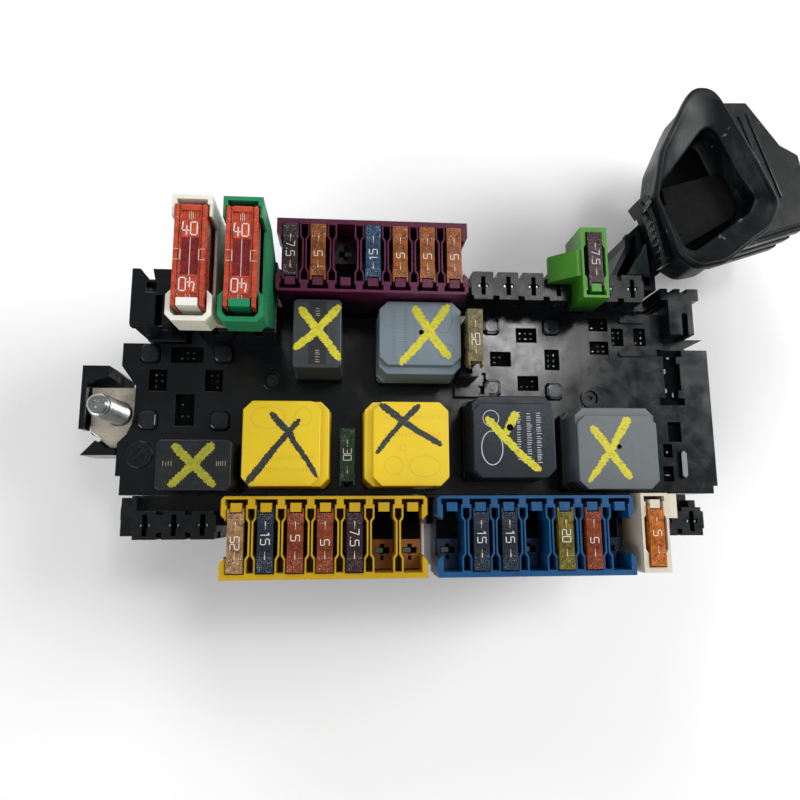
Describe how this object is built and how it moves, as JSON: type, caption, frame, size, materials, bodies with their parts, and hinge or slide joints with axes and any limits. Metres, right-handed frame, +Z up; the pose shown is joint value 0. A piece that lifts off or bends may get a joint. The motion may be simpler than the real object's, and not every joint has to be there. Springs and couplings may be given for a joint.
{
  "type": "fuse and relay panel",
  "caption": "Black automotive fuse and relay module with coloured fuse carriers, plug-in relays, tall main fuses, a supply stud and a harness duct with a rubber boot.",
  "frame": {"origin": "centre of the flat underside of the lower housing", "axes": "+X along the fuse rows, away from the supply stud; +Y towards the rear carrier and the duct; +Z up, the way fuses and relays are pulled"},
  "size_m": [0.2686, 0.1794, 0.0994],
  "materials": {
    "black_housing": "satin moulded",
    "circuit_board": "satin",
    "tinned_copper": "satin",
    "zinc_steel": "bright",
    "dark_steel": "satin",
    "purple_plastic": "satin moulded",
    "yellow_plastic": "satin moulded",
    "blue_plastic": "satin moulded",
    "green_plastic": "satin moulded",
    "cream_plastic": "satin moulded",
    "white_plastic": "satin moulded",
    "deep_green_plastic": "satin moulded",
    "maxi_orange": "translucent gloss",
    "yellow_cover": "satin",
    "black_cover": "satin",
    "grey_cover": "satin",
    "blue_grey_cover": "satin",
    "dark_grey_cover": "satin",
    "fuse_brown": "translucent gloss",
    "fuse_orange": "translucent gloss",
    "fuse_blue": "translucent gloss",
    "fuse_yellow": "translucent gloss",
    "fuse_clear": "translucent gloss",
    "fuse_green": "translucent gloss",
    "black_rubber": "dull",
    "black_nylon": "satin"
  },
  "bodies": {
    "panel": {"upper_housing": "black_housing", "fuse_pedestal": "black_housing", "lower_housing": "black_housing", "circuit_board": "circuit_board", "supply_busbar": "tinned_copper", "supply_stud": "zinc_steel", "supply_bracket": "black_housing", "rear_terminal_block": "black_housing", "front_left_terminal_block": "black_housing", "front_right_terminal_block": "black_housing", "left_guide_tower": "black_housing", "right_guide_tower": "black_housing", "terminal_clips": "tinned_copper", "connector_pins": "tinned_copper", "housing_screws": "dark_steel", "purple_carrier": "purple_plastic", "yellow_carrier": "yellow_plastic", "blue_carrier": "blue_plastic", "green_carrier": "green_plastic", "cream_carrier": "cream_plastic", "maxi_riser": "black_housing", "white_maxi_holder": "white_plastic", "green_maxi_holder": "deep_green_plastic", "duct_arm": "black_housing", "rubber_boot": "black_rubber", "boot_flange": "black_rubber", "cable_tie": "black_nylon"},
    "maxi_fuse_1": {"maxi_fuse_1": "maxi_orange"},
    "maxi_fuse_2": {"maxi_fuse_2": "maxi_orange"},
    "purple_fuse_1": {"purple_fuse_1": "fuse_brown"},
    "purple_fuse_2": {"purple_fuse_2": "fuse_orange"},
    "purple_fuse_4": {"purple_fuse_4": "fuse_blue"},
    "purple_fuse_5": {"purple_fuse_5": "fuse_orange"},
    "purple_fuse_6": {"purple_fuse_6": "fuse_orange"},
    "purple_fuse_7": {"purple_fuse_7": "fuse_orange"},
    "yellow_fuse_1": {"yellow_fuse_1": "fuse_clear"},
    "yellow_fuse_2": {"yellow_fuse_2": "fuse_blue"},
    "yellow_fuse_3": {"yellow_fuse_3": "fuse_orange"},
    "yellow_fuse_4": {"yellow_fuse_4": "fuse_orange"},
    "yellow_fuse_5": {"yellow_fuse_5": "fuse_brown"},
    "blue_fuse_2": {"blue_fuse_2": "fuse_blue"},
    "blue_fuse_3": {"blue_fuse_3": "fuse_blue"},
    "blue_fuse_5": {"blue_fuse_5": "fuse_yellow"},
    "blue_fuse_6": {"blue_fuse_6": "fuse_orange"},
    "green_carrier_fuse": {"green_carrier_fuse": "fuse_brown"},
    "cream_carrier_fuse": {"cream_carrier_fuse": "fuse_orange"},
    "green_panel_fuse": {"green_panel_fuse": "fuse_green"},
    "clear_panel_fuse": {"clear_panel_fuse": "fuse_clear"},
    "yellow_relay_1": {"yellow_relay_1": "yellow_cover"},
    "yellow_relay_2": {"yellow_relay_2": "yellow_cover"},
    "black_relay": {"black_relay": "black_cover"},
    "grey_relay": {"grey_relay": "grey_cover"},
    "blue_grey_relay": {"blue_grey_relay": "blue_grey_cover"},
    "narrow_relay_rear": {"narrow_relay_rear": "dark_grey_cover"},
    "narrow_relay_front": {"narrow_relay_front": "dark_grey_cover"}
  },
  "joints": [
    {"name": "maxi_fuse_1_pull", "type": "slide", "parent": "panel", "child": "maxi_fuse_1", "axis": [0, 0, 1], "range_m": [0, 0.035]},
    {"name": "maxi_fuse_2_pull", "type": "slide", "parent": "panel", "child": "maxi_fuse_2", "axis": [0, 0, 1], "range_m": [0, 0.035]},
    {"name": "purple_fuse_1_pull", "type": "slide", "parent": "panel", "child": "purple_fuse_1", "axis": [0, 0, 1], "range_m": [0, 0.02]},
    {"name": "purple_fuse_2_pull", "type": "slide", "parent": "panel", "child": "purple_fuse_2", "axis": [0, 0, 1], "range_m": [0, 0.02]},
    {"name": "purple_fuse_4_pull", "type": "slide", "parent": "panel", "child": "purple_fuse_4", "axis": [0, 0, 1], "range_m": [0, 0.02]},
    {"name": "purple_fuse_5_pull", "type": "slide", "parent": "panel", "child": "purple_fuse_5", "axis": [0, 0, 1], "range_m": [0, 0.02]},
    {"name": "purple_fuse_6_pull", "type": "slide", "parent": "panel", "child": "purple_fuse_6", "axis": [0, 0, 1], "range_m": [0, 0.02]},
    {"name": "purple_fuse_7_pull", "type": "slide", "parent": "panel", "child": "purple_fuse_7", "axis": [0, 0, 1], "range_m": [0, 0.02]},
    {"name": "yellow_fuse_1_pull", "type": "slide", "parent": "panel", "child": "yellow_fuse_1", "axis": [0, 0, 1], "range_m": [0, 0.02]},
    {"name": "yellow_fuse_2_pull", "type": "slide", "parent": "panel", "child": "yellow_fuse_2", "axis": [0, 0, 1], "range_m": [0, 0.02]},
    {"name": "yellow_fuse_3_pull", "type": "slide", "parent": "panel", "child": "yellow_fuse_3", "axis": [0, 0, 1], "range_m": [0, 0.02]},
    {"name": "yellow_fuse_4_pull", "type": "slide", "parent": "panel", "child": "yellow_fuse_4", "axis": [0, 0, 1], "range_m": [0, 0.02]},
    {"name": "yellow_fuse_5_pull", "type": "slide", "parent": "panel", "child": "yellow_fuse_5", "axis": [0, 0, 1], "range_m": [0, 0.02]},
    {"name": "blue_fuse_2_pull", "type": "slide", "parent": "panel", "child": "blue_fuse_2", "axis": [0, 0, 1], "range_m": [0, 0.02]},
    {"name": "blue_fuse_3_pull", "type": "slide", "parent": "panel", "child": "blue_fuse_3", "axis": [0, 0, 1], "range_m": [0, 0.02]},
    {"name": "blue_fuse_5_pull", "type": "slide", "parent": "panel", "child": "blue_fuse_5", "axis": [0, 0, 1], "range_m": [0, 0.02]},
    {"name": "blue_fuse_6_pull", "type": "slide", "parent": "panel", "child": "blue_fuse_6", "axis": [0, 0, 1], "range_m": [0, 0.02]},
    {"name": "green_carrier_fuse_pull", "type": "slide", "parent": "panel", "child": "green_carrier_fuse", "axis": [0, 0, 1], "range_m": [0, 0.02]},
    {"name": "cream_carrier_fuse_pull", "type": "slide", "parent": "panel", "child": "cream_carrier_fuse", "axis": [0, 0, 1], "range_m": [0, 0.02]},
    {"name": "green_panel_fuse_pull", "type": "slide", "parent": "panel", "child": "green_panel_fuse", "axis": [0, 0, 1], "range_m": [0, 0.01]},
    {"name": "clear_panel_fuse_pull", "type": "slide", "parent": "panel", "child": "clear_panel_fuse", "axis": [0, 0, 1], "range_m": [0, 0.01]},
    {"name": "yellow_relay_1_pull", "type": "slide", "parent": "panel", "child": "yellow_relay_1", "axis": [0, 0, 1], "range_m": [0, 0.014]},
    {"name": "yellow_relay_2_pull", "type": "slide", "parent": "panel", "child": "yellow_relay_2", "axis": [0, 0, 1], "range_m": [0, 0.014]},
    {"name": "black_relay_pull", "type": "slide", "parent": "panel", "child": "black_relay", "axis": [0, 0, 1], "range_m": [0, 0.014]},
    {"name": "grey_relay_pull", "type": "slide", "parent": "panel", "child": "grey_relay", "axis": [0, 0, 1], "range_m": [0, 0.014]},
    {"name": "blue_grey_relay_pull", "type": "slide", "parent": "panel", "child": "blue_grey_relay", "axis": [0, 0, 1], "range_m": [0, 0.014]},
    {"name": "narrow_relay_rear_pull", "type": "slide", "parent": "panel", "child": "narrow_relay_rear", "axis": [0, 0, 1], "range_m": [0, 0.014]},
    {"name": "narrow_relay_front_pull", "type": "slide", "parent": "panel", "child": "narrow_relay_front", "axis": [0, 0, 1], "range_m": [0, 0.014]}
  ]
}
